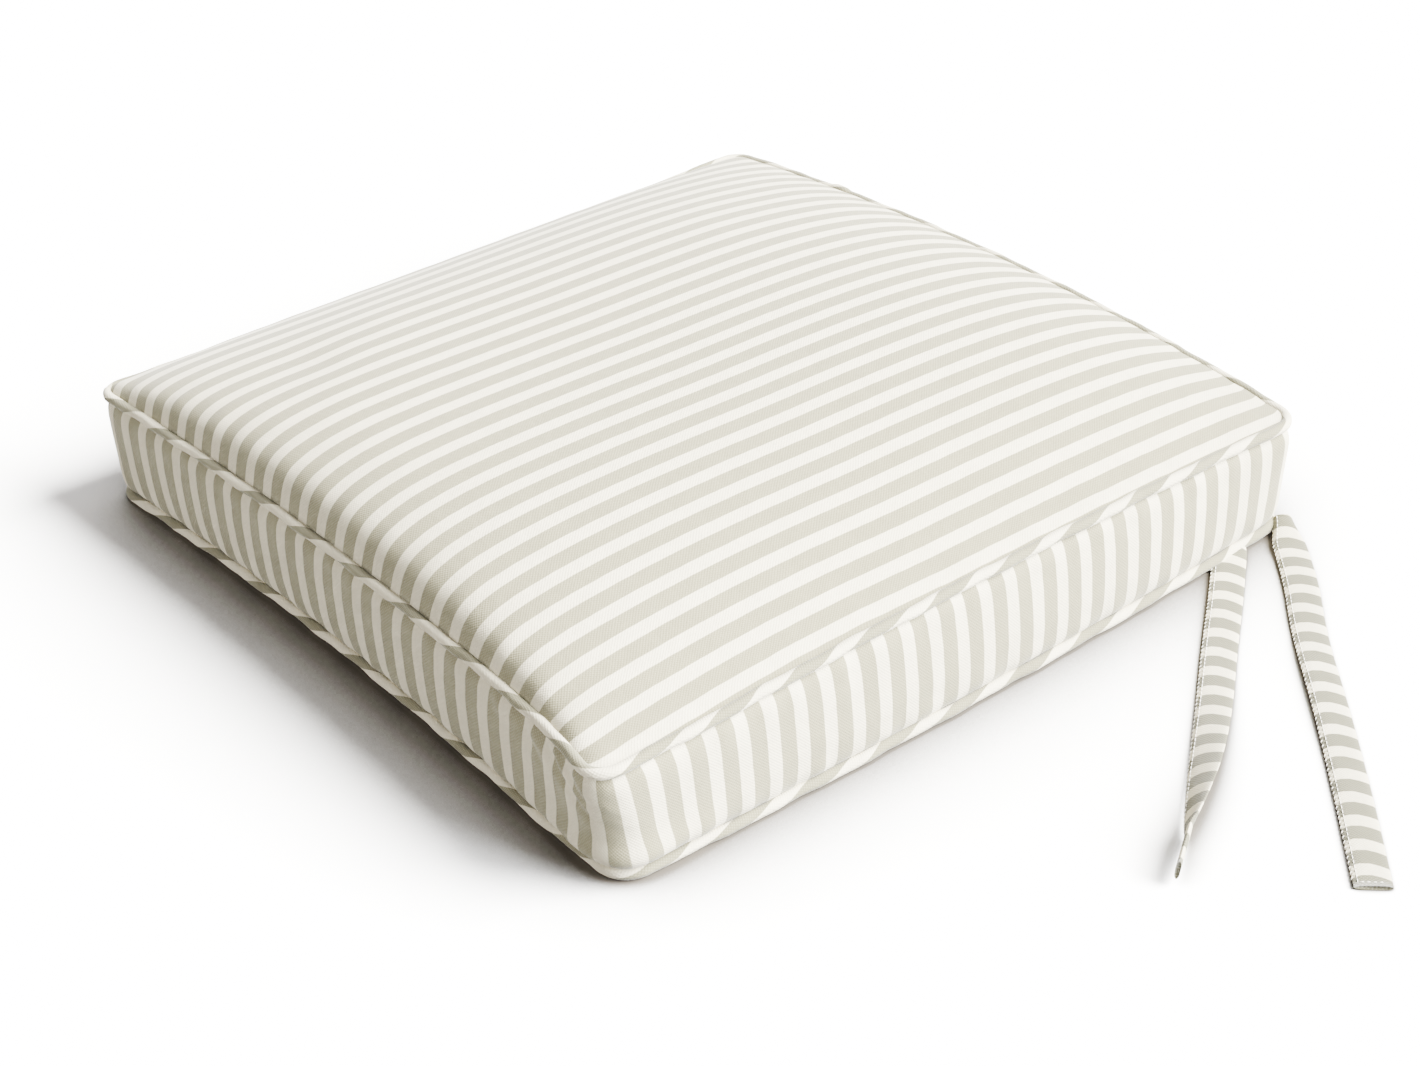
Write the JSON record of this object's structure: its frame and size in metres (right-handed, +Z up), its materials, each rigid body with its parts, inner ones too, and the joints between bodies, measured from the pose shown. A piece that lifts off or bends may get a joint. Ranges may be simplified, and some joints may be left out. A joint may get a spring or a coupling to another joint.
{
  "type": "chair seat pad",
  "caption": "Square box-edge chair seat pad in striped cotton with piped edges, a crowned top, a zip across the back and fabric ties at the back corners.",
  "frame": {"origin": "middle of the underside, on the surface that the pad lies on", "axes": "+Z up, -Y towards the front edge of the seat, +X to the sitter's right-hand side seen from the front; the zip and the ties are at +Y"},
  "size_m": [0.7017, 0.492, 0.098],
  "materials": {
    "striped_cotton": "plain-weave cotton with even ivory and pale sage-grey stripes",
    "cotton_cord": "soft twisted cotton piping cord",
    "foam": "open-cell polyurethane foam",
    "wadding": "bonded polyester fibre wadding",
    "zip_tape": "woven polyester tape, ivory",
    "zip_coil": "moulded nylon coil, ivory",
    "zip_metal": "nickel-plated die-cast zinc"
  },
  "bodies": {
    "root": {"top_panel": "striped_cotton", "bottom_panel": "striped_cotton", "boxing_band": "striped_cotton", "zip_strip_upper": "striped_cotton", "zip_strip_lower": "striped_cotton", "top_piping_cover": "striped_cotton", "bottom_piping_cover": "striped_cotton", "tie_right_corner": "striped_cotton", "tie_right_side": "striped_cotton", "tie_left_corner": "striped_cotton", "tie_left_side": "striped_cotton", "foam_core": "foam", "wadding_top": "wadding", "wadding_wall": "wadding", "wadding_bottom": "wadding", "top_piping_cord": "cotton_cord", "bottom_piping_cord": "cotton_cord", "zip_tape_upper": "zip_tape", "zip_tape_lower": "zip_tape", "zip_coil_upper": "zip_coil", "zip_coil_lower": "zip_coil", "zip_top_stops": "zip_metal", "zip_bottom_stop": "zip_metal"},
    "slider": {"zip_slider": "zip_metal"},
    "pull": {"zip_pull": "zip_metal"}
  },
  "joints": [
    {"name": "zip_slide", "type": "slide", "parent": "root", "child": "slider", "axis": [-1, 0, 0], "range_m": [0, 0.368]},
    {"name": "pull_swing", "type": "hinge", "parent": "slider", "child": "pull", "pos_m": [0.184, 0.2232, 0.034], "axis": [0, 0, -1], "range_deg": [0, 170]}
  ]
}
